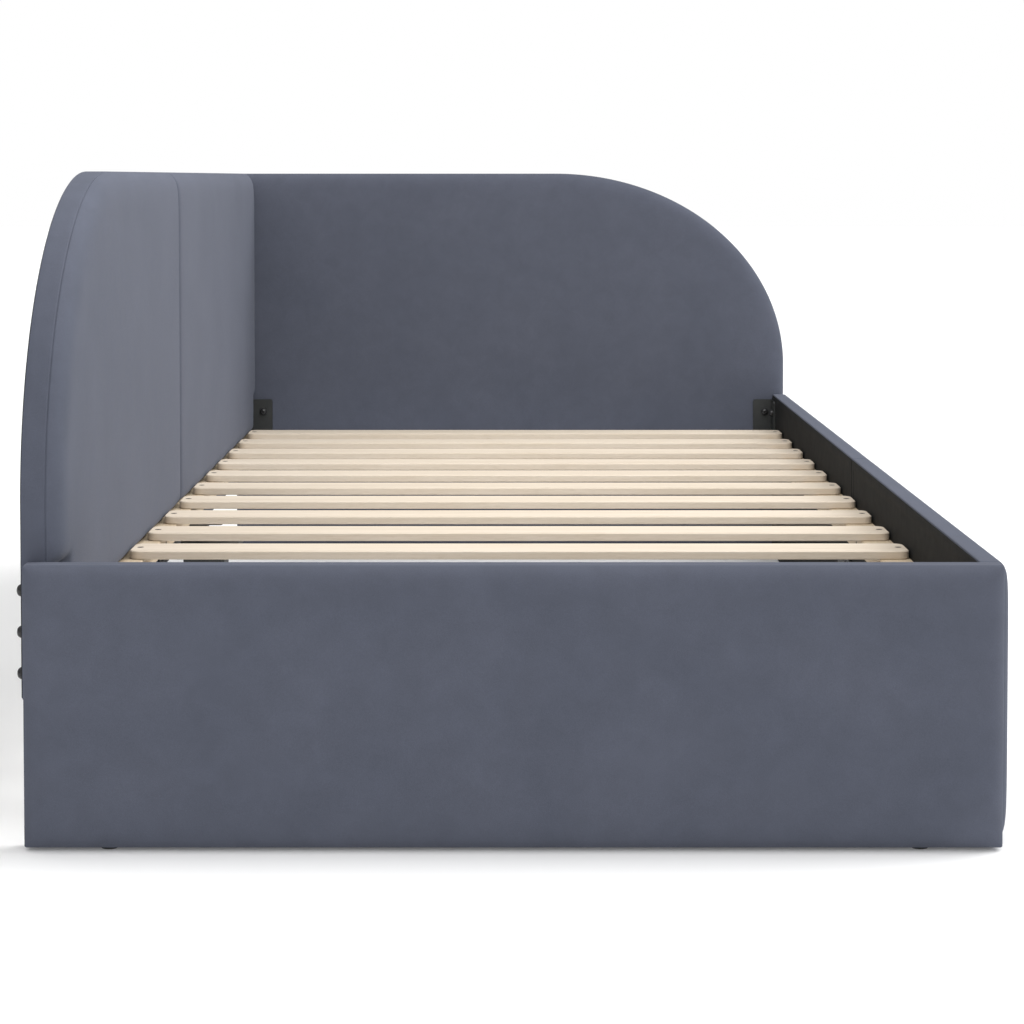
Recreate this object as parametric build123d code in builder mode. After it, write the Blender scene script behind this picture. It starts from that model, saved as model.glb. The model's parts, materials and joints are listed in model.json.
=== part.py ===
from build123d import *
import os
from dataclasses import dataclass

# Daybed with a slatted base for a 900 x 1900 mm mattress, in millimetres.
# X runs across the bed, Y from the foot end to the head end and Z up.
# The origin is on the floor, under the middle of the whole bed.
# A low padded rail is on the +X side, a high padded side backrest on the -X side.

# ---- driving dimensions ----
INNER_LENGTH = 1940.0           # between the footboard and the back board
JOINT_Y = -51.0                 # where the two halves of each long side meet
RAIL_TOP = 282.0                # top of the footboard and of the rail
BACK_TOP = 668.0                # top of the back board and of the side backrest
PANEL_BOTTOM = 3.0              # panels stand on glides of this height
SIDE_BOTTOM = 144.0             # the side backrest is open below this height

SIDE_OUTER = -487.9             # wall side of the side backrest
SIDE_BAND = 24.85               # its depth at the edge band
SIDE_PAD = 18.0                 # how far its pad stands out of the band
RAIL_INNER = 459.15             # lined inner face of the rail
RAIL_BAND = 20.3
RAIL_PAD = 14.0
END_BAND = 24.5                 # footboard and back board
END_PAD = 14.0
END_LEFT = -481.95              # left edge of the footboard and of the back board

ARCH_RUN = 400.0                # the large rounded corners are quarter ellipses
ARCH_RISE = 335.0

LINING = 1.0                    # non-woven lining on the hidden face
VELVET = 1.5                    # velvet with its thin backing
PAD_MARGIN = 2.0                # edge band left around a pad
PAD_ROUND = 0.8                 # pad edge radius, as a share of the pad's depth
LINING_MARGIN = 2.0

SLAT_COUNT = 12
SLAT_LENGTH = 900.0
SLAT_WIDTH = 62.0
SLAT_THICKNESS = 10.0
SLAT_TOP = 231.5
SLAT_PITCH = 148.8
FIRST_SLAT_Y = 813.0            # middle of the slat nearest the head
SLAT_END_GAP = 2.1              # between the slats and the rail
SLAT_CORNER = 12.0
SLAT_EDGE = 1.2

BATTEN_WIDTH = 37.0
BATTEN_HEIGHT = 20.0
BATTEN_REACH = 915.0            # battens end this far from the middle
BATTEN_GAP = 1.0                # each batten stops short of the panel joint
BATTEN_SCREWS = 4

PLATE = 3.0                     # steel of the brackets and joint plates
BRACKET_LONG = 46.0
BRACKET_SHORT = 34.0
BRACKET_HEIGHT = 126.0
BRACKET_MIDDLE = 210.0          # height of the middle bolt
BRACKET_CORNER = 4.0
LONG_BOLT = 30.0                # bolt line to the corner on the long flange
SHORT_BOLT = 14.0               # and on the short flange
BOLT_PITCH = 41.4
BOLT_R = 3.0
BOLT_CLEARANCE = 0.3
BOLT_HEAD_R = 6.2
BOLT_HEAD = 6.4
BOLT_DOME = 4.8
SOCKET_R = 2.3
SOCKET_DEPTH = 3.0
INSERT_R = 5.0
INSERT_LENGTH = 14.0
NUT_R = 5.8
NUT_LENGTH = 5.0

SCREW_R = 2.0
SCREW_HEAD_R = 4.0
SCREW_HEAD = 2.4
SCREW_TIP = 3.0
CROSS_LENGTH = 4.4
CROSS_WIDTH = 0.9
CROSS_DEPTH = 1.2
SLAT_SCREW_LENGTH = 26.0
SLAT_SCREW_INSET = 9.5
BATTEN_SCREW_LENGTH = 50.0
BATTEN_SCREW_END = 60.0         # first screw to the batten's end
LEG_SCREW_LENGTH = 18.0

JOINT_SCREW_R = 2.5
JOINT_SCREW_HEAD_R = 5.0
JOINT_SCREW_HEAD = 3.0
JOINT_SCREW_LENGTH = 16.0
JOINT_PLATE_LENGTH = 240.0
JOINT_PLATE_HEIGHT = 44.0
JOINT_PLATE_CORNER = 6.0
SIDE_PLATE_Z = 172.0            # middle height of the plate on the side backrest
RAIL_PLATE_Z = 120.0            # and of the plate on the rail
JOINT_SCREW_STEPS = (-100.0, -40.0, 40.0, 100.0)
JOINT_SCREW_ROWS = (-13.0, 13.0)

NOTCH_LENGTH = 38.0             # the side pads stop here to clear a bracket
NOTCH_TOP = 277.0

LEG_WIDTH = 55.0
LEG_DEPTH = 60.0
LEG_WALL = 2.0
LEG_CORNER = 4.0
LEG_MIDDLE_X = -413.65
LEG_SHOULDER = (-444.0, -366.0)  # left and right edge of the shoulder on the tube
LEG_SHOULDER_DEPTH = 70.0
LEG_SHOULDER_Z = 165.0
LEG_SHOULDER_HEIGHT = 8.0
LEG_STEM = 27.0                 # square stem between the shoulder and the plate
LEG_STEM_X = -424.5
LEG_PLATE = 2.5
LEG_PLATE_SPAN = 108.0
LEG_FOOT = 4.0                  # sole of the plastic foot under the leg
LEG_PLUG = 14.0                 # how far the foot goes up into the tube
LEG_PLUG_CLEARANCE = 0.3
LEG_PLUG_CORNER = 1.0
LEG_SCREW_Y = 44.0              # from the panel joint
LEG_SCREW_X = (-452.5, -437.0)

GLIDE_R = 9.0
GLIDE_ROUND = 1.0
GLIDE_SETBACK = 10.0            # from a panel's hidden face
END_GLIDE_X = 400.0
RAIL_GLIDE_YS = (-850.0, -150.0, 50.0, 850.0)

NEAR = 0.01                     # how close two lengths are when taken as the same

# ---- worked-out places ----
HALF = INNER_LENGTH / 2
SIDE_INNER = SIDE_OUTER + SIDE_BAND
RAIL_OUTER = RAIL_INNER + RAIL_BAND
END_DEPTH = END_BAND + END_PAD
SLAT_UNDER = SLAT_TOP - SLAT_THICKNESS
BATTEN_UNDER = SLAT_UNDER - BATTEN_HEIGHT
SLAT_X = RAIL_INNER - SLAT_END_GAP - SLAT_LENGTH / 2
PAD_BOTTOM = SLAT_UNDER + 1.0
BOLT_HEIGHTS = [BRACKET_MIDDLE + step * BOLT_PITCH for step in (-1, 0, 1)]
BATTEN_Z = BATTEN_UNDER + BATTEN_HEIGHT / 2
LEFT_BATTEN_X = SIDE_INNER
RIGHT_BATTEN_X = RAIL_INNER - BATTEN_WIDTH
LEG_TOP = BATTEN_UNDER - LEG_PLATE
LEG_PLATE_LEFT = SIDE_INNER + PLATE + JOINT_SCREW_HEAD
LEG_PLATE_RIGHT = LEG_MIDDLE_X + LEG_WIDTH / 2
LEG_PLUG_INSET = 2 * (LEG_WALL + LEG_PLUG_CLEARANCE)
LEG_SCREW_YS = {"foot": [JOINT_Y - LEG_SCREW_Y], "head": [JOINT_Y + LEG_SCREW_Y]}
FOOT_GLIDE_Y = -HALF - GLIDE_SETBACK
BACK_GLIDE_Y = HALF + END_DEPTH - GLIDE_SETBACK
RAIL_GLIDE_X = RAIL_INNER + RAIL_BAND / 2
SLAT_YS = [FIRST_SLAT_Y - index * SLAT_PITCH for index in range(SLAT_COUNT)]

# Each panel's plane lies on its hidden face, with x along the panel, y up
# and z towards its padded face.
FOOT_PLANE = Plane(origin=(0, -HALF, 0), x_dir=(1, 0, 0), z_dir=(0, -1, 0))
BACK_PLANE = Plane(origin=(0, HALF + END_DEPTH, 0), x_dir=(1, 0, 0), z_dir=(0, -1, 0))
RAIL_PLANE = Plane(origin=(RAIL_INNER, 0, 0), x_dir=(0, 1, 0), z_dir=(1, 0, 0))
SIDE_PLANE = Plane(origin=(SIDE_OUTER, 0, 0), x_dir=(0, 1, 0), z_dir=(1, 0, 0))


@dataclass
class Panel:
    """One upholstered board: its place, outline, depths and drilling."""
    name: str
    plane: Plane
    low: tuple                  # bottom corner with the smaller x
    high: tuple                 # top corner with the larger x
    band: float
    pad: float
    arch: int = 0               # +1 or -1: which end has the large rounded corner
    pad_bottom: float = 0.0     # lowest height of the pad
    notch: int = 0              # +1 or -1: the end where the pad clears a bracket
    inserts: tuple = ()         # bolts that end in threaded inserts
    insert_face: str = "hidden"  # the face those bolts come in by
    bolts: tuple = ()           # bolts that go right through
    screws: tuple = ()          # wood screws, as (x, height, radius)


def rows(x):
    """A bracket's three bolt places in a panel, at this distance along it."""
    return tuple((x, height) for height in BOLT_HEIGHTS)


def batten_screw_places(start, end):
    """Where the screws of one batten go, along Y."""
    first = start + BATTEN_SCREW_END
    step = (end - start - 2 * BATTEN_SCREW_END) / (BATTEN_SCREWS - 1)
    return [first + index * step for index in range(BATTEN_SCREWS)]


FOOT_BATTEN = (-BATTEN_REACH, JOINT_Y - BATTEN_GAP)
HEAD_BATTEN = (JOINT_Y + BATTEN_GAP, BATTEN_REACH)


def long_side_screws(batten, plate_height, sign):
    """Screw places in one half of a long side: its batten and its joint plate."""
    wood = [(y, BATTEN_Z, SCREW_R) for y in batten_screw_places(*batten)]
    for step in JOINT_SCREW_STEPS:
        if step * sign > 0:
            for row in JOINT_SCREW_ROWS:
                wood.append((JOINT_Y + step, plate_height + row, JOINT_SCREW_R))
    return tuple(wood)


LEFT_END_BOLT = SIDE_INNER + LONG_BOLT
RIGHT_END_BOLT = RAIL_INNER - SHORT_BOLT

PANELS = [
    Panel("footboard", FOOT_PLANE, (END_LEFT, PANEL_BOTTOM), (RAIL_OUTER, RAIL_TOP),
          END_BAND, END_PAD, inserts=rows(LEFT_END_BOLT) + rows(RIGHT_END_BOLT)),
    Panel("backboard", BACK_PLANE, (END_LEFT, PANEL_BOTTOM), (RAIL_OUTER, BACK_TOP),
          END_BAND, END_PAD, arch=1, insert_face="padded",
          inserts=rows(LEFT_END_BOLT) + rows(RIGHT_END_BOLT)),
    Panel("side_foot", SIDE_PLANE, (-HALF, SIDE_BOTTOM), (JOINT_Y, BACK_TOP),
          SIDE_BAND, SIDE_PAD, arch=-1, pad_bottom=PAD_BOTTOM, notch=-1,
          bolts=rows(-HALF + SHORT_BOLT),
          screws=long_side_screws(FOOT_BATTEN, SIDE_PLATE_Z, -1)),
    Panel("side_head", SIDE_PLANE, (JOINT_Y, SIDE_BOTTOM), (HALF, BACK_TOP),
          SIDE_BAND, SIDE_PAD, pad_bottom=PAD_BOTTOM, notch=1,
          bolts=rows(HALF - SHORT_BOLT),
          screws=long_side_screws(HEAD_BATTEN, SIDE_PLATE_Z, 1)),
    Panel("rail_foot", RAIL_PLANE, (-HALF, PANEL_BOTTOM), (JOINT_Y, RAIL_TOP),
          RAIL_BAND, RAIL_PAD, inserts=rows(-HALF + LONG_BOLT),
          screws=long_side_screws(FOOT_BATTEN, RAIL_PLATE_Z, -1)),
    Panel("rail_head", RAIL_PLANE, (JOINT_Y, PANEL_BOTTOM), (HALF, RAIL_TOP),
          RAIL_BAND, RAIL_PAD, inserts=rows(HALF - LONG_BOLT),
          screws=long_side_screws(HEAD_BATTEN, RAIL_PLATE_Z, 1)),
]


# ---- upholstered panels ----
def outline(panel, depth, inset, bottom=0.0):
    """The panel's outline, this far from its hidden face and drawn in by inset."""
    x0 = panel.low[0] + inset
    x1 = panel.high[0] - inset
    z0 = max(panel.low[1] + inset, bottom)
    z1 = panel.high[1] - inset
    with BuildSketch(panel.plane.offset(depth)) as face:
        with BuildLine():
            if panel.arch:
                square = x0 if panel.arch > 0 else x1
                arched = x1 if panel.arch > 0 else x0
                run = ARCH_RUN - inset
                rise = ARCH_RISE - inset
                centre = (arched - panel.arch * run, z1 - rise)
                start = 0 if panel.arch > 0 else 90
                EllipticalCenterArc(centre, run, rise, start, arc_size=90)
                Line((centre[0], z1), (square, z1))
                Line((square, z1), (square, z0))
                Line((square, z0), (arched, z0))
                Line((arched, z0), (arched, centre[1]))
            else:
                Polyline((x0, z0), (x1, z0), (x1, z1), (x0, z1), close=True)
        make_face()
    return face.sketch


def notch_block(panel, start, depth, grow):
    """The corner that a pad leaves free for a bracket."""
    end = panel.low[0] if panel.notch < 0 else panel.high[0]
    inner = end - panel.notch * (NOTCH_LENGTH + grow)
    top = NOTCH_TOP + grow
    with BuildPart() as block:
        with BuildSketch(panel.plane.offset(start)):
            with BuildLine():
                Polyline((end, 0), (inner, 0), (inner, top), (end, top), close=True)
            make_face()
        extrude(amount=depth)
    return block.part


def padded_block(panel, skin):
    """The solid of a panel without its lining, drawn in by skin all round."""
    top = panel.band - skin
    pad_face = panel.band + panel.pad - skin
    with BuildPart() as pad:
        extrude(outline(panel, top, PAD_MARGIN + skin, panel.pad_bottom + skin), amount=panel.pad)
        show = pad.faces().sort_by(Axis(panel.plane.origin, panel.plane.z_dir))[-1]
        fillet(show.edges(), radius=PAD_ROUND * panel.pad)
        if panel.notch:
            add(notch_block(panel, top, pad_face, skin), mode=Mode.SUBTRACT)
    return pad.part


def drill(panel, places, radius, start, depth):
    """Round holes square to the panel, at these places."""
    with BuildPart() as bits:
        with BuildSketch(panel.plane.offset(start)):
            with Locations(*places):
                Circle(radius)
        extrude(amount=depth)
    return bits.part


def cut_passages(panel):
    """All holes that fasteners need in the layers over or under the core."""
    full = panel.band + panel.pad
    passages = []
    if panel.bolts:
        passages.append(drill(panel, panel.bolts, BOLT_R + BOLT_CLEARANCE, 0, full))
    if panel.inserts and panel.insert_face == "hidden":
        passages.append(drill(panel, panel.inserts, BOLT_R + BOLT_CLEARANCE, 0, LINING))
    if panel.inserts and panel.insert_face == "padded":
        core_face = panel.band - VELVET
        passages.append(drill(panel, panel.inserts, BOLT_R + BOLT_CLEARANCE, core_face, full))
    for radius in (SCREW_R, JOINT_SCREW_R):
        places = [(x, height) for x, height, size in panel.screws if size == radius]
        if places:
            passages.append(drill(panel, places, radius, *screw_span(panel, radius)))
    return passages


def screw_span(panel, radius):
    """Where the screws of one size start and how deep they go, from the hidden face."""
    length = BATTEN_SCREW_LENGTH - BATTEN_WIDTH
    if radius == JOINT_SCREW_R:
        length = JOINT_SCREW_LENGTH - PLATE
    if panel.plane is SIDE_PLANE:
        return panel.band - length, length
    return 0, length


def make_core(panel):
    """Engineered-wood board, drilled for inserts, bolts and screws."""
    thickness = panel.band - VELVET - LINING
    insert_start = LINING
    if panel.insert_face == "padded":
        insert_start = LINING + thickness - INSERT_LENGTH
    with BuildPart() as core:
        extrude(outline(panel, LINING, VELVET), amount=thickness)
        if panel.inserts:
            add(drill(panel, panel.inserts, INSERT_R, insert_start, INSERT_LENGTH), mode=Mode.SUBTRACT)
        if panel.bolts or panel.screws:
            add(cut_passages(panel), mode=Mode.SUBTRACT)
    return core.part


def make_foam(panel):
    """Foam pad glued to the core's padded face."""
    with BuildPart() as foam:
        add(padded_block(panel, VELVET))
        if panel.insert_face == "padded":
            add(cut_passages(panel), mode=Mode.SUBTRACT)
    return foam.part


def make_cover(panel):
    """Velvet cover: a shell over the foam and round the core's four edges."""
    thickness = panel.band - LINING
    with BuildPart() as cover:
        extrude(outline(panel, LINING, 0), amount=thickness)
        add(padded_block(panel, 0))
        extrude(outline(panel, LINING, VELVET), amount=thickness - VELVET, mode=Mode.SUBTRACT)
        add(padded_block(panel, VELVET), mode=Mode.SUBTRACT)
        if panel.bolts or panel.screws or panel.insert_face == "padded":
            add(cut_passages(panel), mode=Mode.SUBTRACT)
    return cover.part


def make_lining(panel):
    """Black non-woven sheet stapled over the hidden face."""
    with BuildPart() as lining:
        extrude(outline(panel, 0, LINING_MARGIN), amount=LINING)
        passages = cut_passages(panel)
        if passages:
            add(passages, mode=Mode.SUBTRACT)
    return lining.part


# ---- slatted base ----
def make_slat(y):
    """Solid-wood slat with rounded ends and eased edges, drilled for two screws."""
    screw_x = SLAT_LENGTH / 2 - SLAT_SCREW_INSET
    with BuildPart() as slat:
        with BuildSketch(Plane.XY.offset(SLAT_UNDER)):
            with Locations((SLAT_X, y)):
                RectangleRounded(SLAT_LENGTH, SLAT_WIDTH, SLAT_CORNER)
        extrude(amount=SLAT_THICKNESS)
        ends = slat.faces().sort_by(Axis.Z)
        chamfer(ends[0].edges() + ends[-1].edges(), length=SLAT_EDGE)
        with Locations((SLAT_X - screw_x, y, SLAT_TOP), (SLAT_X + screw_x, y, SLAT_TOP)):
            add(screw_shape(SLAT_SCREW_LENGTH, solid=True), mode=Mode.SUBTRACT)
    return slat.part


def make_batten(x0, span, screw_z_dir, leg_ys):
    """Ledger strip that carries the slat ends on one half of a long side."""
    start, end = span
    with BuildPart() as batten:
        with BuildSketch(Plane.XY.offset(BATTEN_UNDER)):
            with Locations((x0 + BATTEN_WIDTH / 2, (start + end) / 2)):
                Rectangle(BATTEN_WIDTH, end - start)
        extrude(amount=BATTEN_HEIGHT)
        chamfer(batten.edges().filter_by(Axis.Y), length=SLAT_EDGE)
        add(batten_screw_tools(x0, span, screw_z_dir), mode=Mode.SUBTRACT)
        add(slat_screw_tools(span), mode=Mode.SUBTRACT)
        if leg_ys:
            add(leg_screw_tools(leg_ys), mode=Mode.SUBTRACT)
    return batten.part


# ---- fasteners ----
def screw_shape(length, solid=False):
    """Countersunk wood screw with its head at the origin, pointing down."""
    with BuildPart() as screw:
        Cylinder(SCREW_R, length - SCREW_TIP, align=(Align.CENTER, Align.CENTER, Align.MAX))
        with Locations((0, 0, -length + SCREW_TIP)):
            Cone(SCREW_R / 4, SCREW_R, SCREW_TIP, align=(Align.CENTER, Align.CENTER, Align.MAX))
        Cone(SCREW_R, SCREW_HEAD_R, SCREW_HEAD, align=(Align.CENTER, Align.CENTER, Align.MAX))
        if not solid:
            for turn in (0, 90):
                with Locations(Location((0, 0, 0), (0, 0, turn))):
                    Box(CROSS_LENGTH, CROSS_WIDTH, 2 * CROSS_DEPTH, mode=Mode.SUBTRACT)
    return screw.part


def placed(shape, planes):
    """Copies of a fastener, one on each plane."""
    with BuildPart() as group:
        with Locations(*planes):
            add(shape)
    return group.part


def batten_screw_planes(x0, span, z_dir):
    """Planes of one batten's screws, on the face towards the bed."""
    face_x = x0 + BATTEN_WIDTH if z_dir > 0 else x0
    return [Plane(origin=(face_x, y, BATTEN_Z), x_dir=(0, 1, 0), z_dir=(z_dir, 0, 0))
            for y in batten_screw_places(*span)]


def batten_screw_tools(x0, span, z_dir):
    """Solid screws that cut one batten's screw holes."""
    return placed(screw_shape(BATTEN_SCREW_LENGTH, solid=True), batten_screw_planes(x0, span, z_dir))


def slat_screw_planes(ys):
    """Planes of the slat screws at both ends of these slats."""
    reach = SLAT_LENGTH / 2 - SLAT_SCREW_INSET
    return [Plane(origin=(SLAT_X + side * reach, y, SLAT_TOP)) for y in ys for side in (-1, 1)]


def slat_screw_tools(span):
    """Solid screws that cut the slat-screw holes of the battens in this span."""
    ys = [y for y in SLAT_YS if span[0] < y < span[1]]
    return placed(screw_shape(SLAT_SCREW_LENGTH, solid=True), slat_screw_planes(ys))


def leg_screw_planes(ys):
    """Planes of the screws that come up through the leg's plate."""
    low = BATTEN_UNDER - LEG_PLATE
    return [Plane(origin=(x, y, low), x_dir=(1, 0, 0), z_dir=(0, 0, -1)) for y in ys for x in LEG_SCREW_X]


def leg_screw_tools(ys):
    """Solid screws that cut the leg's screw holes."""
    return placed(screw_shape(LEG_SCREW_LENGTH, solid=True), leg_screw_planes(ys))


def make_bolts(planes, lengths):
    """Dome-headed bolts with a hexagon socket, heads on these planes."""
    with BuildPart() as bolts:
        with Locations(*planes):
            Cylinder(BOLT_HEAD_R, BOLT_HEAD, align=(Align.CENTER, Align.CENTER, Align.MIN))
        rims = [edge for plane in planes for edge in bolts.edges().filter_by(GeomType.CIRCLE)
                if abs((edge.arc_center - plane.origin).dot(plane.z_dir) - BOLT_HEAD) < NEAR
                and (edge.arc_center - plane.origin).length < BOLT_HEAD + NEAR]
        fillet(rims, radius=BOLT_DOME)
        with BuildSketch(*[plane.offset(BOLT_HEAD) for plane in planes]):
            RegularPolygon(SOCKET_R, 6)
        extrude(amount=-SOCKET_DEPTH, mode=Mode.SUBTRACT)
        for plane, length in zip(planes, lengths):
            with Locations(plane):
                Cylinder(BOLT_R, length, align=(Align.CENTER, Align.CENTER, Align.MAX))
    return bolts.part


def make_sleeves(planes, outer, length, sides=0):
    """Nuts or threaded inserts: tubes that grip a bolt, starting on these planes."""
    with BuildPart() as sleeves:
        with BuildSketch(*planes):
            if sides:
                RegularPolygon(outer, sides)
            else:
                Circle(outer)
            Circle(BOLT_R, mode=Mode.SUBTRACT)
        extrude(amount=length)
    return sleeves.part


def make_pan_screws(planes):
    """Pan-headed screws of the joint plates."""
    with BuildPart() as screws:
        with Locations(*planes):
            Cylinder(JOINT_SCREW_R, JOINT_SCREW_LENGTH, align=(Align.CENTER, Align.CENTER, Align.MAX))
            Cone(JOINT_SCREW_HEAD_R, JOINT_SCREW_R, JOINT_SCREW_HEAD,
                 align=(Align.CENTER, Align.CENTER, Align.MIN))
    return screws.part


# ---- metalwork ----
def bracket_corner(side, end):
    """Inner corner of the bed at one side and end, and the two flange sizes."""
    x = SIDE_INNER if side < 0 else RAIL_INNER
    flanges = (BRACKET_LONG, BRACKET_SHORT) if side < 0 else (BRACKET_SHORT, BRACKET_LONG)
    return x, end * HALF, flanges


def end_bolt_planes(side, end):
    """Bolt planes on the flange against the footboard or back board."""
    x, y, flanges = bracket_corner(side, end)
    reach = LONG_BOLT if flanges[0] == BRACKET_LONG else SHORT_BOLT
    return [Plane(origin=(x - side * reach, y - end * PLATE, height), x_dir=(1, 0, 0), z_dir=(0, -end, 0))
            for height in BOLT_HEIGHTS]


def rail_bolt_planes(end):
    """Bolt planes on the flange against the rail."""
    y = end * (HALF - LONG_BOLT)
    return [Plane(origin=(RAIL_INNER - PLATE, y, height), x_dir=(0, 1, 0), z_dir=(-1, 0, 0))
            for height in BOLT_HEIGHTS]


def side_bolt_planes(end):
    """Bolt planes on the wall side of the side backrest."""
    y = end * (HALF - SHORT_BOLT)
    return [Plane(origin=(SIDE_OUTER, y, height), x_dir=(0, 1, 0), z_dir=(-1, 0, 0))
            for height in BOLT_HEIGHTS]


def make_bracket(side, end):
    """Steel angle that joins a long side to the footboard or back board."""
    x, y, (across, along) = bracket_corner(side, end)
    far_x = x - side * across
    far_y = y - end * along
    in_x = x - side * PLATE
    in_y = y - end * PLATE
    long_side_planes = rail_bolt_planes(end) if side > 0 else side_bolt_planes(end)
    with BuildPart() as bracket:
        with BuildSketch(Plane.XY.offset(BRACKET_MIDDLE - BRACKET_HEIGHT / 2)):
            with BuildLine():
                Polyline((x, y), (far_x, y), (far_x, in_y), (in_x, in_y), (in_x, far_y), (x, far_y),
                         close=True)
            make_face()
        extrude(amount=BRACKET_HEIGHT)
        tips = [edge for edge in bracket.edges() if abs(edge.length - PLATE) < NEAR]
        fillet(tips, radius=BRACKET_CORNER)
        with Locations(*end_bolt_planes(side, end), *long_side_planes):
            Cylinder(BOLT_R + BOLT_CLEARANCE, 4 * SIDE_BAND, mode=Mode.SUBTRACT)
    return bracket.part


def joint_screw_planes(face_x, height, z_dir):
    """Planes of a joint plate's screws, on its face towards the bed."""
    return [Plane(origin=(face_x, JOINT_Y + step, height + row), x_dir=(0, 1, 0), z_dir=(z_dir, 0, 0))
            for step in JOINT_SCREW_STEPS for row in JOINT_SCREW_ROWS]


def make_joint_plate(x0, height):
    """Flat steel plate across the joint of the two halves of a long side."""
    with BuildPart() as plate:
        with BuildSketch(Plane(origin=(x0, JOINT_Y, height), x_dir=(0, 1, 0), z_dir=(1, 0, 0))):
            RectangleRounded(JOINT_PLATE_LENGTH, JOINT_PLATE_HEIGHT, JOINT_PLATE_CORNER)
            with Locations(*[(step, row) for step in JOINT_SCREW_STEPS for row in JOINT_SCREW_ROWS]):
                Circle(JOINT_SCREW_R, mode=Mode.SUBTRACT)
        extrude(amount=PLATE)
    return plate.part


# ---- build and write every sub-part ----
os.makedirs("parts", exist_ok=True)


def write(part, name):
    """Save one sub-part under its own name."""
    part.label = name
    export_step(part, f"parts/{name}.step")


for panel in PANELS:
    write(make_core(panel), f"{panel.name}_core")
    write(make_foam(panel), f"{panel.name}_foam")
    write(make_cover(panel), f"{panel.name}_cover")
    write(make_lining(panel), f"{panel.name}_lining")

for index, slat_y in enumerate(SLAT_YS, start=1):
    write(make_slat(slat_y), f"slat_{index:02d}")

batten_planes = []
for end_name, span in (("foot", FOOT_BATTEN), ("head", HEAD_BATTEN)):
    write(make_batten(LEFT_BATTEN_X, span, 1, LEG_SCREW_YS[end_name]), f"left_{end_name}_batten")
    write(make_batten(RIGHT_BATTEN_X, span, -1, []), f"right_{end_name}_batten")
    batten_planes += batten_screw_planes(LEFT_BATTEN_X, span, 1)
    batten_planes += batten_screw_planes(RIGHT_BATTEN_X, span, -1)

write(placed(screw_shape(BATTEN_SCREW_LENGTH), batten_planes), "batten_screws")
write(placed(screw_shape(SLAT_SCREW_LENGTH), slat_screw_planes(SLAT_YS)), "slat_screws")

for side, side_name in ((-1, "left"), (1, "right")):
    for end, end_name in ((-1, "foot"), (1, "head")):
        write(make_bracket(side, end), f"{side_name}_{end_name}_bracket")

# Bolts that end in inserts: through the bracket, then the layers over the core.
foot_planes = end_bolt_planes(-1, -1) + end_bolt_planes(1, -1)
back_planes = end_bolt_planes(-1, 1) + end_bolt_planes(1, 1)
rail_planes = rail_bolt_planes(-1) + rail_bolt_planes(1)
thin_cover = PLATE + LINING
thick_cover = PLATE + VELVET + END_PAD
corner_planes = foot_planes + rail_planes + back_planes
covers = [thin_cover] * len(foot_planes + rail_planes) + [thick_cover] * len(back_planes)
bolt_lengths = [cover + INSERT_LENGTH for cover in covers]
write(make_bolts(corner_planes, bolt_lengths), "corner_bolts")
insert_planes = [plane.offset(-cover - INSERT_LENGTH) for plane, cover in zip(corner_planes, covers)]
write(make_sleeves(insert_planes, INSERT_R, INSERT_LENGTH), "corner_inserts")

# Bolts through the side backrest, with nuts on the bracket inside.
through_planes = side_bolt_planes(-1) + side_bolt_planes(1)
through = SIDE_BAND + PLATE + NUT_LENGTH
write(make_bolts(through_planes, [through] * len(through_planes)), "side_bolts")
nut_planes = [plane.offset(-through) for plane in through_planes]
write(make_sleeves(nut_planes, NUT_R, NUT_LENGTH, sides=6), "side_nuts")

write(make_joint_plate(SIDE_INNER, SIDE_PLATE_Z), "side_joint_plate")
write(make_joint_plate(RAIL_INNER - PLATE, RAIL_PLATE_Z), "rail_joint_plate")
joint_planes = joint_screw_planes(SIDE_INNER + PLATE, SIDE_PLATE_Z, 1)
joint_planes += joint_screw_planes(RAIL_INNER - PLATE, RAIL_PLATE_Z, -1)
write(make_pan_screws(joint_planes), "joint_screws")

leg_ys = LEG_SCREW_YS["foot"] + LEG_SCREW_YS["head"]
with BuildPart() as mid_leg:
    with BuildSketch(Plane.XY.offset(LEG_FOOT)):
        with Locations((LEG_MIDDLE_X, JOINT_Y)):
            RectangleRounded(LEG_WIDTH, LEG_DEPTH, LEG_CORNER)
            RectangleRounded(LEG_WIDTH - 2 * LEG_WALL, LEG_DEPTH - 2 * LEG_WALL,
                             LEG_CORNER - LEG_WALL, mode=Mode.SUBTRACT)
    extrude(amount=LEG_SHOULDER_Z - LEG_FOOT)
    with BuildSketch(Plane.XY.offset(LEG_SHOULDER_Z)):
        with Locations((sum(LEG_SHOULDER) / 2, JOINT_Y)):
            RectangleRounded(LEG_SHOULDER[1] - LEG_SHOULDER[0], LEG_SHOULDER_DEPTH, LEG_CORNER)
    extrude(amount=LEG_SHOULDER_HEIGHT)
    with BuildSketch(Plane.XY.offset(LEG_SHOULDER_Z + LEG_SHOULDER_HEIGHT)):
        with Locations((LEG_STEM_X, JOINT_Y)):
            Rectangle(LEG_STEM, LEG_STEM)
    extrude(amount=LEG_TOP - LEG_SHOULDER_Z - LEG_SHOULDER_HEIGHT)
    with BuildSketch(Plane.XY.offset(LEG_TOP)):
        with Locations(((LEG_PLATE_LEFT + LEG_PLATE_RIGHT) / 2, JOINT_Y)):
            RectangleRounded(LEG_PLATE_RIGHT - LEG_PLATE_LEFT, LEG_PLATE_SPAN, LEG_CORNER)
    extrude(amount=LEG_PLATE)
    add(leg_screw_tools(leg_ys), mode=Mode.SUBTRACT)
write(mid_leg.part, "mid_leg")
write(placed(screw_shape(LEG_SCREW_LENGTH), leg_screw_planes(leg_ys)), "leg_screws")

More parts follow.
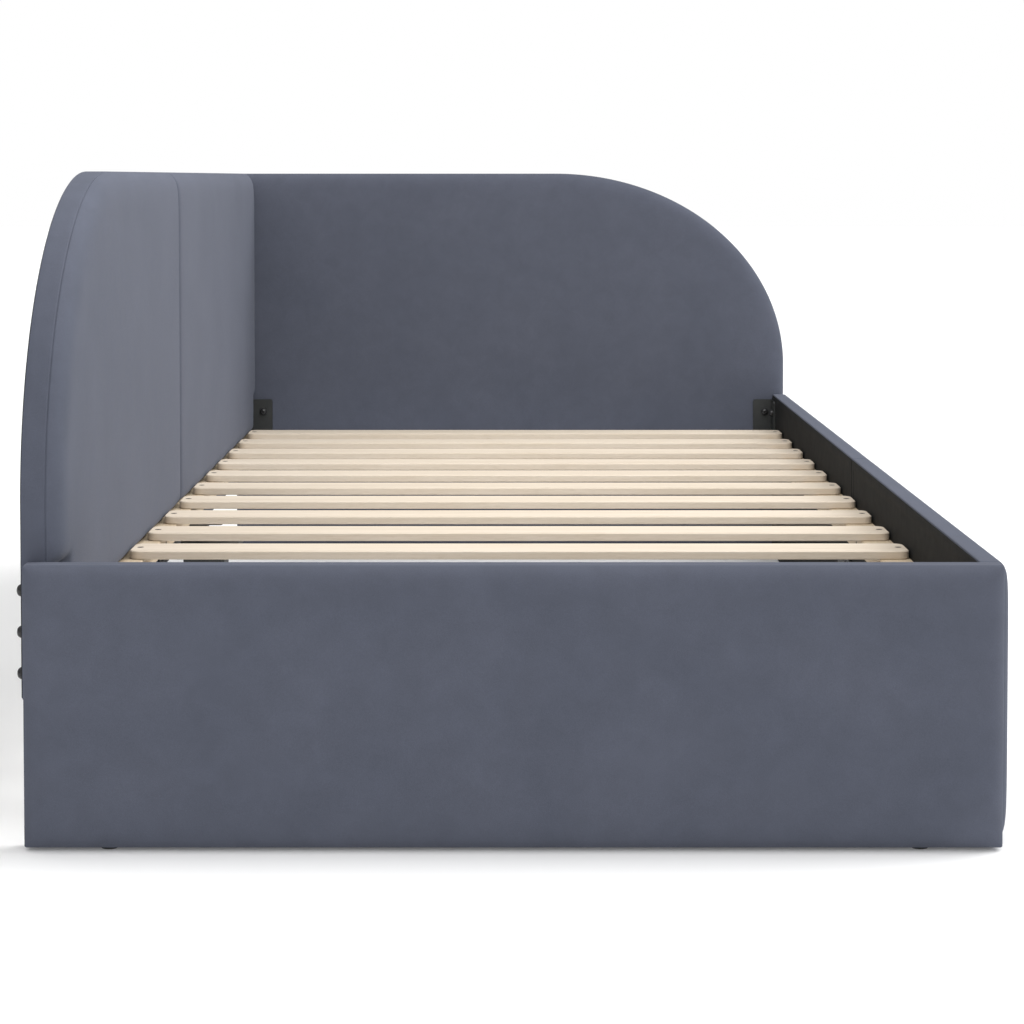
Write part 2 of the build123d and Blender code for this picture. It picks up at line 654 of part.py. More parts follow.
with BuildPart() as leg_foot:
    with BuildSketch():
        with Locations((LEG_MIDDLE_X, JOINT_Y)):
            RectangleRounded(LEG_WIDTH, LEG_DEPTH, LEG_CORNER)
    extrude(amount=LEG_FOOT)
    with BuildSketch(Plane.XY.offset(LEG_FOOT)):
        with Locations((LEG_MIDDLE_X, JOINT_Y)):
            RectangleRounded(LEG_WIDTH - LEG_PLUG_INSET, LEG_DEPTH - LEG_PLUG_INSET, LEG_PLUG_CORNER)
    extrude(amount=LEG_PLUG)
    chamfer(leg_foot.faces().sort_by(Axis.Z)[0].edges(), length=GLIDE_ROUND)
write(leg_foot.part, "leg_foot")

glide_points = [(side * END_GLIDE_X, y) for side in (-1, 1) for y in (FOOT_GLIDE_Y, BACK_GLIDE_Y)]
glide_points += [(RAIL_GLIDE_X, y) for y in RAIL_GLIDE_YS]
with BuildPart() as glides:
    with BuildSketch():
        with Locations(*glide_points):
            Circle(GLIDE_R)
    extrude(amount=PANEL_BOTTOM)
    chamfer(glides.edges().group_by(Axis.Z)[0], length=GLIDE_ROUND)
write(glides.part, "glides")
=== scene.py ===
import json
import math

import bpy
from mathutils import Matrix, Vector, noise


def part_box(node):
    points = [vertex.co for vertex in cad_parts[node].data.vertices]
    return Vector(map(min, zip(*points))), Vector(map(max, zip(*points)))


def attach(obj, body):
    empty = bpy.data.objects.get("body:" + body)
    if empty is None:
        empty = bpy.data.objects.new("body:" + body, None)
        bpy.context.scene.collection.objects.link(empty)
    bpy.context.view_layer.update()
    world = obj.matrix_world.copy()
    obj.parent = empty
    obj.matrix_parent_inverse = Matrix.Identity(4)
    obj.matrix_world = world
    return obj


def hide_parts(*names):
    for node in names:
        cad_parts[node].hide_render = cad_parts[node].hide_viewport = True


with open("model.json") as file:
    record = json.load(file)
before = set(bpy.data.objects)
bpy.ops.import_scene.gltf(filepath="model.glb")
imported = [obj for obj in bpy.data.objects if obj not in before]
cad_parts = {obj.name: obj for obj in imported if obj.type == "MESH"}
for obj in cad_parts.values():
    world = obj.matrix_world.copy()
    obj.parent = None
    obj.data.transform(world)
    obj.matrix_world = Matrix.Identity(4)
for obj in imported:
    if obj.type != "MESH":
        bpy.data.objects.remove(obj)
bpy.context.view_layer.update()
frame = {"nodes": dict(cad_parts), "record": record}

# ---------------------------------------------------------------- dimensions, in metres, unless said
MM = 0.001
ARCH_RUN = 400 * MM              # the large rounded corners are quarter ellipses
ARCH_RISE = 335 * MM
VELVET = 1.5 * MM                # velvet with its thin backing
CORNER = 2.5 * MM                # corner radius of a wrapped board
BAND_EDGE = 2.2 * MM             # rounding of the edge band
RIM = 0.5 * MM                   # the turned-over velvet lies this far below the lining
RIM_EDGE = 1.3 * MM              # rounding of that turn
ROUND_ANGLES = (0, 22, 45, 68, 90)  # steps round an edge, in degrees
ARCH_STEPS = 72
CORNER_STEPS = 5
SEAM = 1.3 * MM                  # depth of the seam between the band and the pad
SOFT = 9 * MM                    # how fast a pad rises from an edge seam
TIGHT = 2.6 * MM                 # and from an edge that is pressed against its neighbour
TAIL = (1.8 * MM, 32 * MM)       # long gentle fall of a pad towards a pressed edge
POINT_STEP = 8 * MM              # spacing of the points along an outline
RING_STEP = 14 * MM              # spacing of the rings in the middle of a pad
LINING_MARGIN = 2 * MM
HEM = 14 * MM
STAPLE = (11 * MM, 1.1 * MM, 0.7 * MM)
STAPLE_STEP = 70 * MM
FAR = 10.0                       # a gap so large that it plays no part
CAMERA_TILT = 2.465              # how far the camera looks down, in degrees

BODY = "root"


# ---------------------------------------------------------------- node helpers
def new_material(name):
    """A material with its node tree and shader."""
    material = bpy.data.materials.new(name)
    material.use_nodes = True
    tree = material.node_tree
    return material, tree, tree.nodes["Principled BSDF"]


def texture_space(tree, scale):
    """Object coordinates, stretched by scale."""
    coords = tree.nodes.new("ShaderNodeTexCoord")
    mapping = tree.nodes.new("ShaderNodeMapping")
    mapping.inputs["Scale"].default_value = scale
    tree.links.new(coords.outputs["Object"], mapping.inputs["Vector"])
    return mapping.outputs["Vector"]


def noise_texture(tree, space, scale, detail, roughness=0.5, distortion=0.0):
    """Cloudy noise, about 0.3 to 0.7."""
    texture = tree.nodes.new("ShaderNodeTexNoise")
    texture.inputs["Scale"].default_value = scale
    texture.inputs["Detail"].default_value = detail
    texture.inputs["Roughness"].default_value = roughness
    texture.inputs["Distortion"].default_value = distortion
    tree.links.new(space, texture.inputs["Vector"])
    return texture.outputs["Fac"]


def ramp(tree, value, stops):
    """A colour ramp: stops are (position, colour)."""
    node = tree.nodes.new("ShaderNodeValToRGB")
    while len(node.color_ramp.elements) < len(stops):
        node.color_ramp.elements.new(0.5)
    for element, (position, colour) in zip(node.color_ramp.elements, stops):
        element.position = position
        element.color = (*colour, 1.0)
    tree.links.new(value, node.inputs["Fac"])
    return node.outputs["Color"]


def span(tree, value, low, high, source=(0.3, 0.7)):
    """Value, taken from the source range to low..high."""
    node = tree.nodes.new("ShaderNodeMapRange")
    node.inputs["From Min"].default_value = source[0]
    node.inputs["From Max"].default_value = source[1]
    node.inputs["To Min"].default_value = low
    node.inputs["To Max"].default_value = high
    tree.links.new(value, node.inputs["Value"])
    return node.outputs["Result"]


def multiply(tree, first, second):
    """The product of two colours."""
    node = tree.nodes.new("ShaderNodeMix")
    node.data_type = "RGBA"
    node.blend_type = "MULTIPLY"
    factor, colours, result = node.inputs[0], node.inputs[6:8], node.outputs[2]
    factor.default_value = 1.0
    tree.links.new(first, colours[0])
    tree.links.new(second, colours[1])
    return result


def bump(tree, height, distance, strength, under=None):
    """Relief from a height value, added to the relief under it."""
    node = tree.nodes.new("ShaderNodeBump")
    node.inputs["Distance"].default_value = distance
    node.inputs["Strength"].default_value = strength
    tree.links.new(height, node.inputs["Height"])
    if under is not None:
        tree.links.new(under, node.inputs["Normal"])
    return node.outputs["Normal"]


# ---------------------------------------------------------------- materials
def velvet_material():
    """Low-pile velvet: brushed patches, a fine nap and a soft sheen."""
    material, tree, shader = new_material("velvet")
    space = texture_space(tree, (1.0, 1.0, 1.0))
    patches = noise_texture(tree, space, 7.0, 3.0, 0.55, 0.6)
    strokes = noise_texture(tree, space, 38.0, 4.0, 0.6, 0.4)
    nap = noise_texture(tree, space, 1500.0, 2.0, 0.6)
    base = ramp(tree, patches, [(0.3, (0.078, 0.086, 0.114)), (0.7, (0.087, 0.095, 0.125))])
    brushed = ramp(tree, strokes, [(0.3, (0.93, 0.93, 0.93)), (0.7, (1.06, 1.06, 1.06))])
    tone = multiply(tree, base, brushed)
    fibres = ramp(tree, nap, [(0.25, (0.86, 0.86, 0.86)), (0.75, (1.12, 1.12, 1.12))])
    tree.links.new(multiply(tree, tone, fibres), shader.inputs["Base Color"])
    tree.links.new(span(tree, strokes, 0.78, 0.92), shader.inputs["Roughness"])
    shader.inputs["Specular IOR Level"].default_value = 0.18
    shader.inputs["Sheen Weight"].default_value = 0.10
    shader.inputs["Sheen Roughness"].default_value = 0.45
    shader.inputs["Sheen Tint"].default_value = (0.72, 0.77, 0.90, 1.0)
    soft = bump(tree, strokes, 0.9 * MM, 0.35)
    tree.links.new(bump(tree, nap, 0.25 * MM, 0.5, soft), shader.inputs["Normal"])
    return material


def lining_material():
    """Black non-woven sheet: pressed fibres with a regular embossed dot grid."""
    material, tree, shader = new_material("lining")
    space = texture_space(tree, (1.0, 1.0, 1.0))
    cloud = noise_texture(tree, space, 60.0, 5.0, 0.65)
    fibre = noise_texture(tree, space, 900.0, 4.0, 0.7, 1.2)
    dots = tree.nodes.new("ShaderNodeTexVoronoi")
    dots.inputs["Scale"].default_value = 520.0
    dots.inputs["Randomness"].default_value = 0.0
    tree.links.new(space, dots.inputs["Vector"])
    base = ramp(tree, cloud, [(0.3, (0.0082, 0.0086, 0.0082)), (0.7, (0.0116, 0.0122, 0.0116))])
    grain = ramp(tree, fibre, [(0.3, (0.75, 0.75, 0.75)), (0.7, (1.25, 1.25, 1.25))])
    tree.links.new(multiply(tree, base, grain), shader.inputs["Base Color"])
    tree.links.new(span(tree, cloud, 0.78, 0.9), shader.inputs["Roughness"])
    shader.inputs["Specular IOR Level"].default_value = 0.25
    embossed = bump(tree, dots.outputs["Distance"], 0.25 * MM, 0.35)
    tree.links.new(bump(tree, fibre, 0.3 * MM, 0.4, embossed), shader.inputs["Normal"])
    return material


def wood_material(name, scale, light, dark, contrast):
    """Planed solid wood. scale stretches the grain along the board."""
    material, tree, shader = new_material(name)
    space = texture_space(tree, scale)
    board = noise_texture(tree, space, 0.9, 2.0, 0.5)
    figure = noise_texture(tree, space, 5.0, 6.0, 0.6, 0.8)
    pores = noise_texture(tree, space, 42.0, 3.0, 0.7)
    base = ramp(tree, figure, [(0.34, dark), (0.66, light)])
    boards = ramp(tree, board, [(0.3, (0.95, 0.94, 0.92)), (0.7, (1.03, 1.03, 1.03))])
    tone = multiply(tree, base, boards)
    pore_tone = (contrast, contrast * 0.985, contrast * 0.96)
    lines = ramp(tree, pores, [(0.30, pore_tone), (0.52, (1.0, 1.0, 1.0))])
    tree.links.new(multiply(tree, tone, lines), shader.inputs["Base Color"])
    tree.links.new(span(tree, pores, 0.62, 0.48), shader.inputs["Roughness"])
    shader.inputs["Specular IOR Level"].default_value = 0.35
    grain = bump(tree, figure, 0.15 * MM, 0.4)
    tree.links.new(bump(tree, pores, 0.12 * MM, 0.6, grain), shader.inputs["Normal"])
    return material


def board_material():
    """Raw particle board: pressed chips."""
    material, tree, shader = new_material("engineered_wood")
    space = texture_space(tree, (1.0, 1.0, 1.0))
    chips = tree.nodes.new("ShaderNodeTexVoronoi")
    chips.inputs["Scale"].default_value = 260.0
    tree.links.new(space, chips.inputs["Vector"])
    dust = noise_texture(tree, space, 500.0, 3.0, 0.6)
    base = ramp(tree, dust, [(0.3, (0.36, 0.25, 0.15)), (0.7, (0.56, 0.43, 0.28))])
    chip_tone = ramp(tree, chips.outputs["Distance"], [(0.0, (1.1, 1.08, 1.05)), (0.8, (0.78, 0.76, 0.72))])
    tree.links.new(multiply(tree, base, chip_tone), shader.inputs["Base Color"])
    shader.inputs["Roughness"].default_value = 0.85
    tree.links.new(bump(tree, dust, 0.3 * MM, 0.5), shader.inputs["Normal"])
    return material


def foam_material():
    """Open-cell foam."""
    material, tree, shader = new_material("foam")
    space = texture_space(tree, (1.0, 1.0, 1.0))
    cells = tree.nodes.new("ShaderNodeTexVoronoi")
    cells.inputs["Scale"].default_value = 700.0
    tree.links.new(space, cells.inputs["Vector"])
    tone = noise_texture(tree, space, 12.0, 3.0)
    base = ramp(tree, tone, [(0.3, (0.70, 0.66, 0.52)), (0.7, (0.79, 0.76, 0.63))])
    # painted shade: each foam cell's colour darkens towards its pit, where the bump sinks in
    pit_shade = ramp(tree, cells.outputs["Distance"], [(0.0, (0.7, 0.7, 0.7)), (0.5, (1.0, 1.0, 1.0))])
    tree.links.new(multiply(tree, base, pit_shade), shader.inputs["Base Color"])
    shader.inputs["Roughness"].default_value = 0.95
    tree.links.new(bump(tree, cells.outputs["Distance"], 0.6 * MM, 0.6), shader.inputs["Normal"])
    return material


def coated_material(name, colour, roughness, metallic=0.0, relief=0.12):
    """Painted, plated or moulded surface: a fine texture and small changes of tone and gloss."""
    material, tree, shader = new_material(name)
    space = texture_space(tree, (1.0, 1.0, 1.0))
    fine = noise_texture(tree, space, 900.0, 3.0, 0.6)
    broad = noise_texture(tree, space, 35.0, 4.0, 0.6)
    darker = tuple(0.82 * value for value in colour)
    lighter = tuple(1.18 * value for value in colour)
    tree.links.new(ramp(tree, broad, [(0.3, darker), (0.7, lighter)]), shader.inputs["Base Color"])
    tree.links.new(span(tree, fine, roughness - 0.06, roughness + 0.08), shader.inputs["Roughness"])
    shader.inputs["Metallic"].default_value = metallic
    tree.links.new(bump(tree, fine, relief * MM, 0.5), shader.inputs["Normal"])
    return material


MATERIALS = {
    "velvet": velvet_material(),
    "lining": lining_material(),
    "foam": foam_material(),
    "engineered_wood": board_material(),
    "slat_wood": wood_material("slat_wood", (1.6, 30.0, 30.0),
                               (0.700, 0.613, 0.510), (0.654, 0.561, 0.450), 0.91),
    # batten wood: the battens' own wood tone, darkened below the slat wood as painted shade so the strips
    # beside the slat ends read as shaded
    "batten_wood": wood_material("batten_wood", (30.0, 1.6, 30.0),
                                 (0.58, 0.48, 0.35), (0.49, 0.39, 0.27), 0.86),
    "black_steel": coated_material("black_steel", (0.022, 0.024, 0.024), 0.46),
    "black_bolt": coated_material("black_bolt", (0.016, 0.016, 0.017), 0.30, relief=0.04),
    "dark_screw": coated_material("dark_screw", (0.016, 0.014, 0.012), 0.60, relief=0.04),
    "zinc": coated_material("zinc", (0.60, 0.60, 0.58), 0.34, 1.0, relief=0.04),
    "black_plastic": coated_material("black_plastic", (0.018, 0.018, 0.018), 0.52),
}


# ---------------------------------------------------------------- panels: place and outline
class Panel:
    """An upholstered board. u runs along it, v up, and w from its hidden face to its padded face."""

    def __init__(self, name, faces_x, arch=0, tight=""):
        self.name = name
        self.faces_x = faces_x
        self.arch = arch
        sides = ("start", "end", "bottom", "top")
        self.softness = [TIGHT if side in tight.split() else SOFT for side in sides]
        low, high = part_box(f"{name}_cover")
        core_low, core_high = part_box(f"{name}_core")
        foam_low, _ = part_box(f"{name}_foam")
        lining_low, lining_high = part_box(f"{name}_lining")
        along = 1 if faces_x else 0
        self.u0, self.u1 = low[along], high[along]
        self.v0, self.v1 = low[2], high[2]
        self.pad_v0 = max(self.v0, foam_low[2] - 2 * VELVET)
        if faces_x:
            self.hidden = lining_low[0]
            self.band = core_high[0] + VELVET - self.hidden
            self.depth = high[0] - self.hidden
        else:
            self.hidden = lining_high[1]
            self.band = self.hidden - core_low[1] + VELVET
            self.depth = self.hidden - low[1]
        self.pad = self.depth - self.band

    def place(self, u, v, w):
        """A point of the panel in the room."""
        if self.faces_x:
            return Vector((self.hidden + w, u, v))
        return Vector((u, self.hidden - w, v))

    def ring(self, inset, v0):
        """The outline above height v0, drawn in by inset. Every inset gives the same number of points."""
        low_u, high_u = self.u0 + inset, self.u1 - inset
        low_v, high_v = v0 + inset, self.v1 - inset
        round_ = max(CORNER - inset, 0.15 * MM)
        corners = [(low_u, low_v, 180), (high_u, low_v, 270), (high_u, high_v, 0), (low_u, high_v, 90)]
        arched = {1: 2, -1: 3}.get(self.arch)
        points, ends = [], []
        for index, (cu, cv, start) in enumerate(corners):
            run, rise = round_, round_
            steps = CORNER_STEPS
            if index == arched:
                run, rise = ARCH_RUN - inset, ARCH_RISE - inset
                steps = ARCH_STEPS
            centre_u = cu + run if cu == low_u else cu - run
            centre_v = cv + rise if cv == low_v else cv - rise
            arc = []
            for step in range(steps + 1):
                angle = math.radians(start + 90 * step / steps)
                arc.append((centre_u + run * math.cos(angle), centre_v + rise * math.sin(angle)))
            ends.append(arc)
        sizes = (self.u1 - self.u0, self.v1 - v0) * 2
        for index, arc in enumerate(ends):
            points += arc
            nearby = ends[(index + 1) % 4][0]
            count = max(4, round(sizes[index] / POINT_STEP))
            if arched is not None and index in (arched, (arched - 1) % 4):
                count = max(4, count // 2)
            for step in range(1, count):
                share = step / count
                points.append((arc[-1][0] + share * (nearby[0] - arc[-1][0]),
                               arc[-1][1] + share * (nearby[1] - arc[-1][1])))
        return points

    def gaps(self, u, v, v0):
        """Distances from a point to the outline's start, end, bottom and top."""
        gaps = [u - self.u0, self.u1 - u, v - v0, self.v1 - v]
        if self.arch:
            centre_u = self.u1 - ARCH_RUN if self.arch > 0 else self.u0 + ARCH_RUN
            across = self.arch * (u - centre_u)
            up = v - (self.v1 - ARCH_RISE)
            if across > 0 and up > 0:
                reach = max(math.hypot(across / ARCH_RUN, up / ARCH_RISE), 0.01)
                gaps[1 if self.arch > 0 else 0] = FAR
                gaps[3] = (1 - reach) * math.hypot(across, up) / reach
        return [max(gap, 0.05 * MM) for gap in gaps]

    def depth_inside(self, u, v, v0):
        """Rounded distance from a point to the outline."""
        return sum(gap ** -2 for gap in self.gaps(u, v, v0)) ** -0.5

    def fill_rings(self, ring, v0):
        """Rings from this one to a line in the middle of the panel."""
        middle = (v0 + self.v1) / 2
        reach = 0.45 * min(self.u1 - self.u0, self.v1 - v0)
        low, high = self.u0 + reach, self.u1 - reach
        targets = [(min(max(u, low), high), middle) for u, _ in ring]
        steps = math.ceil(reach / RING_STEP)
        rings = []
        for step in range(1, steps):
            share = step / steps
            rings.append([(u + share * (goal_u - u), v + share * (goal_v - v))
                          for (u, v), (goal_u, goal_v) in zip(ring, targets)])
        return rings


def ring_mesh(name, panel, rings):
    """A skin through these rings of points, capped at both ends."""
    vertices, faces = [], []
    for ring in rings:
        vertices += [panel.place(*point) for point in ring]
    count = len(rings[0])
    for row in range(len(rings) - 1):
        for index in range(count):
            following = (index + 1) % count
            first, second = row * count, (row + 1) * count
            faces.append((first + index, first + following, second + following, second + index))
    last = (len(rings) - 1) * count
    faces.append(tuple(range(last, last + count)))
    faces.append(tuple(range(count - 1, -1, -1)))
    mesh = bpy.data.meshes.new(name)
    mesh.from_pydata(vertices, [], faces)
    mesh.update()
    piece = bpy.data.objects.new(name, mesh)
    bpy.context.scene.collection.objects.link(piece)
    for polygon in mesh.polygons:
        polygon.use_smooth = True
    return piece


def join(name, pieces):
    """Several meshes as one object."""
    bpy.ops.object.select_all(action="DESELECT")
    for piece in pieces:
        piece.select_set(True)
    bpy.context.view_layer.objects.active = pieces[0]
    bpy.ops.object.join()
    whole = bpy.context.view_layer.objects.active
    whole.name = name
    whole.data.name = name
    return whole


def finish_piece(piece, slot, *nodes):
    """Gives a piece its material and its body, and hides the CAD nodes that it replaces."""
    piece.data.materials.clear()
    piece.data.materials.append(MATERIALS[slot])
    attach(piece, BODY)
    if nodes:
        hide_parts(*nodes)


# ---------------------------------------------------------------- velvet covers
def band_shell(panel):
    """The wrapped board: hidden rim, edge band and a flat face under the pad."""
    band = panel.band
    profile = [(14 * MM, 1.0 * MM), (6 * MM, 0.9 * MM), (4 * MM, RIM)]
    for angle in ROUND_ANGLES:
        turn = math.radians(angle)
        profile.append((RIM_EDGE * (1 - math.sin(turn)), RIM + RIM_EDGE * (1 - math.cos(turn))))
    steps = 4
    low, high = RIM + RIM_EDGE, band - BAND_EDGE
    for step in range(1, steps):
        profile.append((0.0, low + (high - low) * step / steps))
    for angle in ROUND_ANGLES:
        turn = math.radians(angle)
        profile.append((BAND_EDGE * (1 - math.cos(turn)), high + BAND_EDGE * math.sin(turn)))
    profile.append((14 * MM, band))
    rings = []
    for inset, height in profile:
        rings.append([(u, v, height) for u, v in panel.ring(inset, panel.v0)])
    return ring_mesh(f"{panel.name}_band", panel, rings)


def squeeze(panel, u, v):
    """How much of the pad's height is left near a steel angle: 0 under it, 1 away from it."""
    left = 1.0
    for low, high in CLAMPS.get(panel.name, ()):
        across = max(low[0] - u, u - high[0], 0.0)
        up = max(low[1] - v, v - high[1], 0.0)
        left = min(left, 1 - math.exp(-((math.hypot(across, up) / (7 * MM)) ** 1.5)))
    return left


def pad_height(panel, u, v, rise):
    """Height of a pad's skin above the band."""
    gaps = panel.gaps(u, v, panel.pad_v0)
    scaled = sum((gap / soft) ** -2 for gap, soft in zip(gaps, panel.softness)) ** -0.5
    height = rise * (1 - math.exp(-scaled))
    for gap, soft in zip(gaps[:2], panel.softness[:2]):
        if soft == TIGHT:
            height -= TAIL[0] * math.exp(-gap / TAIL[1]) * (1 - math.exp(-scaled))
    waves = noise.noise(panel.place(u, v, 0.0) * 5.0) + 0.5 * noise.noise(panel.place(u, v, 0.3) * 16.0)
    ease = 1 - math.exp(-((panel.depth_inside(u, v, panel.pad_v0) / (45 * MM)) ** 2))
    return height * squeeze(panel, u, v) + 0.4 * MM * (waves - 0.3) * ease


PAD_INSETS = [0.5, 0.9, 1.5, 2.4, 3.6, 5.2, 7.2, 9.8, 13.0, 17.0, 21.5, 26.5, 32.0, 38.0, 45.0, 53.0, 62.0]


def pad_skin(panel, name, rise, sink=0.0):
    """The pad: it rises from the seam and rounds over to an almost flat face."""
    floor = panel.band - sink
    rings = [[(u, v, floor - 2 * MM) for u, v in panel.ring(8 * MM, panel.pad_v0)],
             [(u, v, floor - SEAM) for u, v in panel.ring(1.6 * MM, panel.pad_v0)]]
    outlines = [panel.ring(inset * MM + sink, panel.pad_v0) for inset in PAD_INSETS]
    outlines += panel.fill_rings(outlines[-1], panel.pad_v0)
    for outline in outlines:
        rings.append([(u, v, floor + pad_height(panel, u, v, rise)) for u, v in outline])
    return ring_mesh(name, panel, rings)


def make_cover(panel):
    """Velvet over the board's edges and over the pad."""
    shell = band_shell(panel)
    pad = pad_skin(panel, f"{panel.name}_pad", panel.pad)
    cover = join(f"{panel.name}_velvet_cover", [shell, pad])
    finish_piece(cover, "velvet", f"{panel.name}_cover")


def make_foam(panel):
    """The foam pad, one thickness of velvet inside the cover."""
    foam = pad_skin(panel, f"{panel.name}_foam_pad", panel.pad - VELVET, sink=VELVET)
    finish_piece(foam, "foam", f"{panel.name}_foam")


# ---------------------------------------------------------------- linings
def make_lining(panel):
    """Black sheet over the hidden face, with a turned-in hem."""
    fold = 0.45 * MM
    profile = [(LINING_MARGIN + 0.8 * MM, 1.0 * MM), (LINING_MARGIN, 0.9 * MM), (LINING_MARGIN, -0.5 * fold),
               (LINING_MARGIN + 0.5 * MM, -fold), (HEM - 1 * MM, -fold), (HEM + 0.6 * MM, 0.0),
               (HEM + 6 * MM, 0.0), (HEM + 16 * MM, 0.0)]
    outlines = [panel.ring(inset, panel.v0) for inset, _ in profile]
    heights = [height for _, height in profile]
    filling = panel.fill_rings(outlines[-1], panel.v0)[::2]
    outlines += filling
    heights += [0.0] * len(filling)
    rings = []
    for outline, height in zip(outlines, heights):
        ring = []
        for u, v in outline:
            wave = 0.5 * MM * noise.noise(panel.place(u, v, 0.7) * 9.0)
            slack = 1 - math.exp(-((panel.depth_inside(u, v, panel.v0) / (60 * MM)) ** 2))
            ring.append((u, v, height + wave * slack))
        rings.append(ring[::-1])  # seen from the other side
    sheet = ring_mesh(f"{panel.name}_lining_sheet", panel, rings)
    finish_piece(sheet, "lining", f"{panel.name}_lining")
    width, height = panel.u1 - panel.u0 - 2 * LINING_MARGIN, panel.v1 - panel.v0 - 2 * LINING_MARGIN
    area = width * height
    if panel.arch:
        area -= (1 - math.pi / 4) * ARCH_RUN * ARCH_RISE


def make_staples(panel):
    """Staples along the lining's hem."""
    length, width, height = STAPLE
    outline = panel.ring(0.55 * HEM + LINING_MARGIN, panel.v0)
    vertices, faces = [], []
    travelled = STAPLE_STEP / 2
    for start, end in zip(outline, outline[1:] + outline[:1]):
        step = math.dist(start, end)
        if step < 0.3 * MM:
            continue
        travelled += step
        if travelled < STAPLE_STEP or step < 2 * MM:
            continue
        travelled = 0.0
        along = ((end[0] - start[0]) / step, (end[1] - start[1]) / step)
        middle = ((start[0] + end[0]) / 2, (start[1] + end[1]) / 2)
        base = len(vertices)
        sections = [(-0.5, 0.3), (-0.47, -0.5), (-0.40, -1.0), (0.40, -1.0), (0.47, -0.5), (0.5, 0.3)]
        for share, lift in sections:
            for side, drop in ((-0.5, 0.0), (-0.32, -0.35), (0.32, -0.35), (0.5, 0.0)):
                u = middle[0] + share * length * along[0] - side * width * along[1]
                v = middle[1] + share * length * along[1] + side * width * along[0]
                w = -0.45 * MM + (lift + drop) * height * 0.6
                vertices.append(panel.place(u, v, w))
        for row in range(len(sections) - 1):
            for column in range(4):
                following = (column + 1) % 4
                first, second = base + 4 * row, base + 4 * (row + 1)
                faces.append((first + column, second + column, second + following, first + following))
        faces.append((base, base + 1, base + 2, base + 3))
        last = base + 4 * (len(sections) - 1)
        faces.append((last + 3, last + 2, last + 1, last))
    mesh = bpy.data.meshes.new(f"{panel.name}_staples")
    mesh.from_pydata(vertices, [], faces)
    mesh.update()
    piece = bpy.data.objects.new(f"{panel.name}_staples", mesh)
    bpy.context.scene.collection.objects.link(piece)
    finish_piece(piece, "black_bolt")


# ---------------------------------------------------------------- all upholstery
def patch(node):
    """A node's outline on a side panel, as ((u, v), (u, v))."""
    low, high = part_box(node)
    return ((low[1], low[2]), (high[1], high[2]))


CLAMPS = {"side_foot": [patch("left_foot_bracket")], "side_head": [patch("left_head_bracket")]}
PANELS = [
    Panel("footboard", False),
    Panel("backboard", False, arch=1, tight="start"),
    Panel("side_foot", True, arch=-1, tight="end bottom"),
    Panel("side_head", True, tight="start end bottom"),
    Panel("rail_foot", True, tight="end"),
    Panel("rail_head", True, tight="start"),
]
for panel in PANELS:
    make_cover(panel)
    make_foam(panel)
    make_lining(panel)
for panel in PANELS[1:4]:
    make_staples(panel)


# ---------------------------------------------------------------- CAD nodes that stay
def dress_cad_nodes():
    """Each CAD node that stays gets the material of its slot."""
    slots = {row["node"]: row["material_slot"] for row in frame["record"]["subparts"]}
    for name, node in frame["nodes"].items():
        node.data.materials.clear()
        node.data.materials.append(MATERIALS[slots[name]])


dress_cad_nodes()


# ---------------------------------------------------------------- floor, light and camera
def make_floor():
    """A plain pale floor, with a faint glow that softens the shadows."""
    size = 30.0
    corners = [(-size, -size, 0), (size, -size, 0), (size, size, 0), (-size, size, 0)]
    mesh = bpy.data.meshes.new("floor")
    mesh.from_pydata(corners, [], [(0, 1, 2, 3)])
    floor = bpy.data.objects.new("floor", mesh)
    bpy.context.scene.collection.objects.link(floor)
    material, _, shader = new_material("floor")
    shader.inputs["Base Color"].default_value = (0.92, 0.92, 0.92, 1.0)
    shader.inputs["Emission Color"].default_value = (1.0, 1.0, 1.0, 1.0)
    shader.inputs["Emission Strength"].default_value = 0.10
    shader.inputs["Roughness"].default_value = 0.9
    shader.inputs["Specular IOR Level"].default_value = 0.1
    floor.data.materials.append(material)


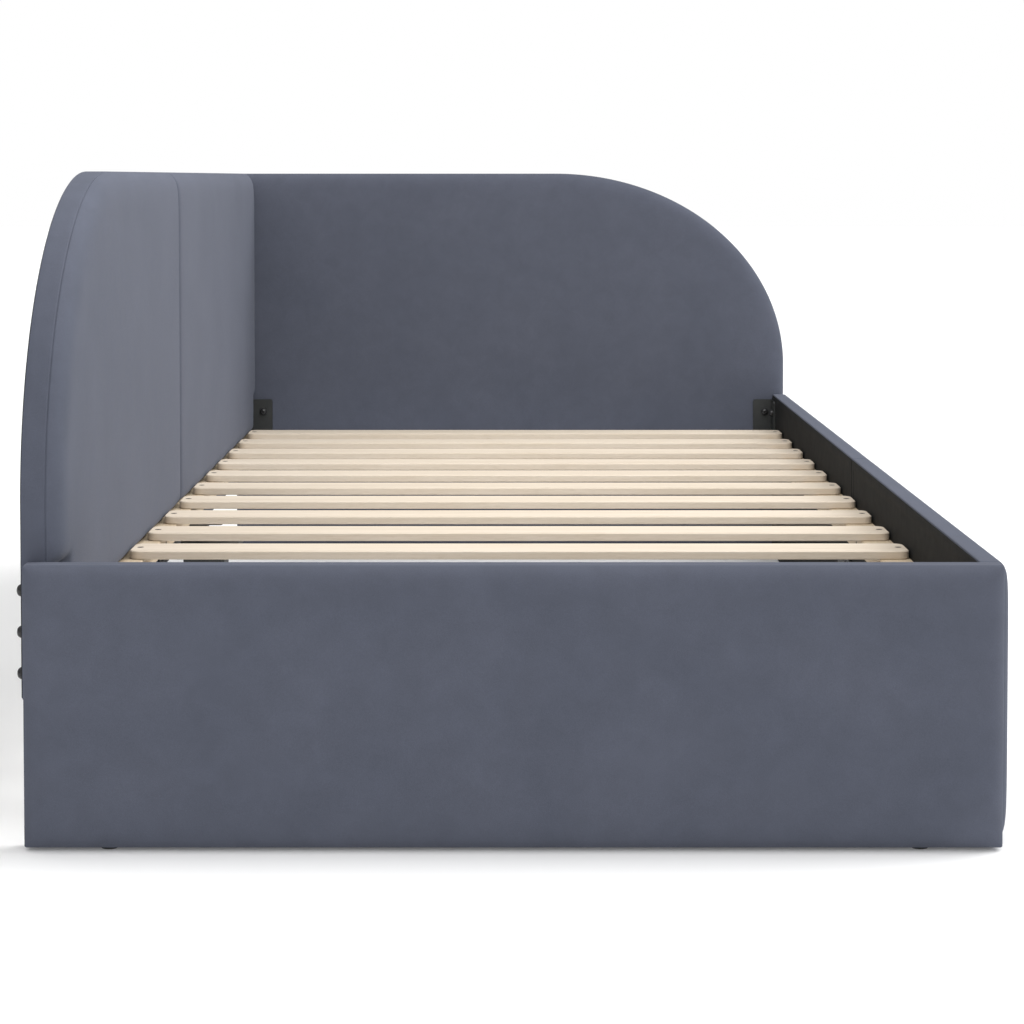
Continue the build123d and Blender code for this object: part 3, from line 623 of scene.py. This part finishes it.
def make_light(name, place, spread, strength):
    """A broad soft light, so far away that it reaches the whole floor evenly."""
    light = bpy.data.lights.new(name, "SUN")
    light.angle = math.radians(spread)
    light.energy = strength
    lamp = bpy.data.objects.new(name, light)
    lamp.location = place
    lamp.rotation_euler = (-Vector(place)).to_track_quat("-Z", "Y").to_euler()
    bpy.context.scene.collection.objects.link(lamp)


def make_softbox(place, target, size, power):
    """A square lamp above the slats, turned to the back board."""
    light = bpy.data.lights.new("softbox", "AREA")
    light.size = size
    light.energy = power
    lamp = bpy.data.objects.new("softbox", light)
    lamp.location = place
    lamp.rotation_euler = (Vector(target) - Vector(place)).to_track_quat("-Z", "Y").to_euler()
    lamp.visible_camera = False
    bpy.context.scene.collection.objects.link(lamp)


def make_world(strength):
    """A backdrop that looks white and lights the bed with this strength."""
    world = bpy.data.worlds.new("studio")
    world.use_nodes = True
    tree = world.node_tree
    background = tree.nodes["Background"]
    background.inputs["Color"].default_value = (1.0, 1.0, 1.0, 1.0)
    path = tree.nodes.new("ShaderNodeLightPath")
    level = span(tree, path.outputs["Is Camera Ray"], strength, 1.0, (0.0, 1.0))
    tree.links.new(level, background.inputs["Strength"])
    bpy.context.scene.world = world


def make_camera():
    """A long lens in front of the footboard, a little above the back board's middle."""
    camera = bpy.data.cameras.new("camera")
    camera.sensor_width = 36.0
    camera.lens = 89.0
    camera.shift_x = 0.0067
    camera.shift_y = -0.22
    camera.clip_end = 100.0
    view = bpy.data.objects.new("camera", camera)
    view.location = (-0.0094, -3.4551, 0.6608)
    view.rotation_euler = (math.radians(90 - CAMERA_TILT), 0.0, 0.0)
    bpy.context.scene.collection.objects.link(view)
    bpy.context.scene.camera = view


make_floor()
make_world(0.42)
make_light("key", (4.0, 1.4, 3.4), 50, 2.10)
make_light("top", (0.0, 0.0, 5.0), 90, 0.65)
make_light("front", (0.8, -6.0, 4.0), 70, 1.05)
make_softbox((0.1, -0.6, 1.9), (-0.1, 1.0, 0.4), 1.2, 18.0)
make_camera()
bpy.context.scene.view_settings.view_transform = "Standard"
